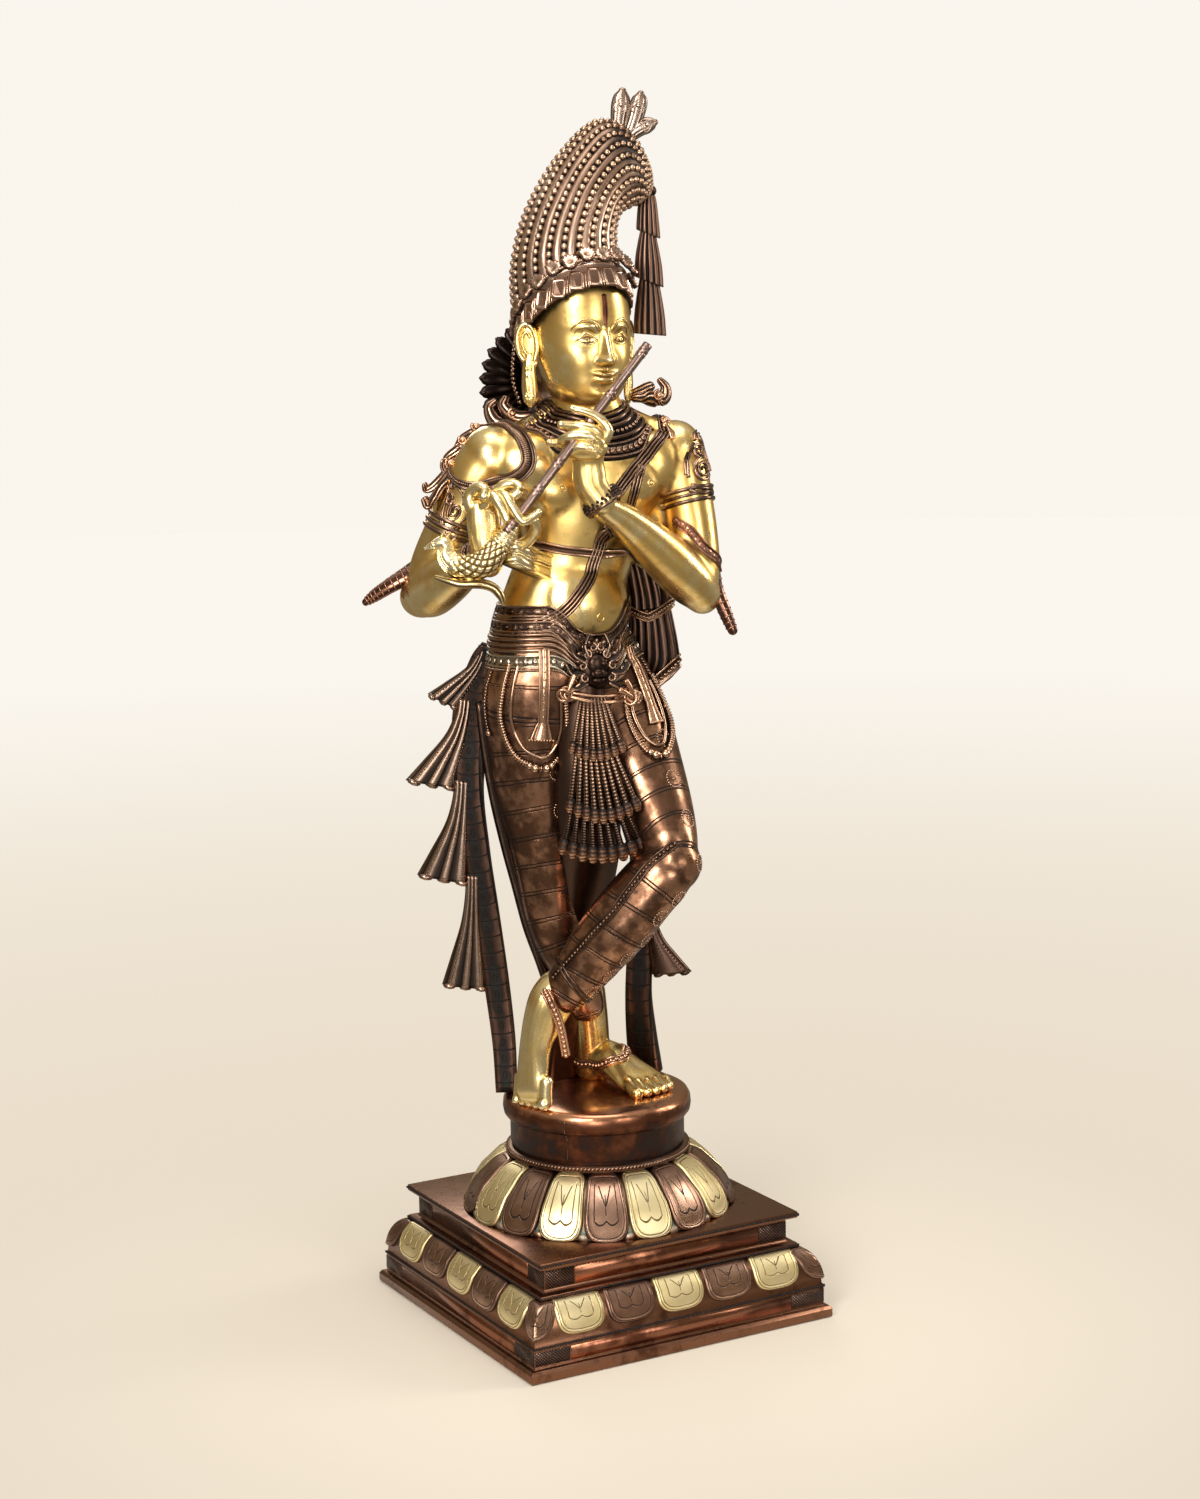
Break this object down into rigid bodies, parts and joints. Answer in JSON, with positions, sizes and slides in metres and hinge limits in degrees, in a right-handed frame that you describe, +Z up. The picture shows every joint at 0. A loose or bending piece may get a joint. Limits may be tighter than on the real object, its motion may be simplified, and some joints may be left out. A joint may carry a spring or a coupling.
{
  "type": "krishna figure",
  "caption": "Cast brass and copper flute player with crossed legs and a tall cap, standing on a disc, a lotus seat and a stepped square plinth.",
  "frame": {"origin": "middle of the plinth's underside", "axes": "+Z up along the figure, -Y the way the figure's body faces, +X to a viewer's right"},
  "size_m": [0.4652, 0.43, 1.5206],
  "materials": {
    "plinth_copper": "copper, red-brown antique patina, satin polish, dark in the grooves",
    "lotus_brass": "petals of polished golden brass and red-brown copper in turn, verdigris at the foot",
    "figure_brass": "skin polished golden brass, dress and ornaments antique copper with near-black recesses",
    "flute_metal": "grey-brown antique patina, satin"
  },
  "bodies": {
    "root": {"plinth": "plinth_copper", "lotus_seat": "lotus_brass", "figure": "figure_brass", "flute": "flute_metal"}
  },
  "joints": []
}
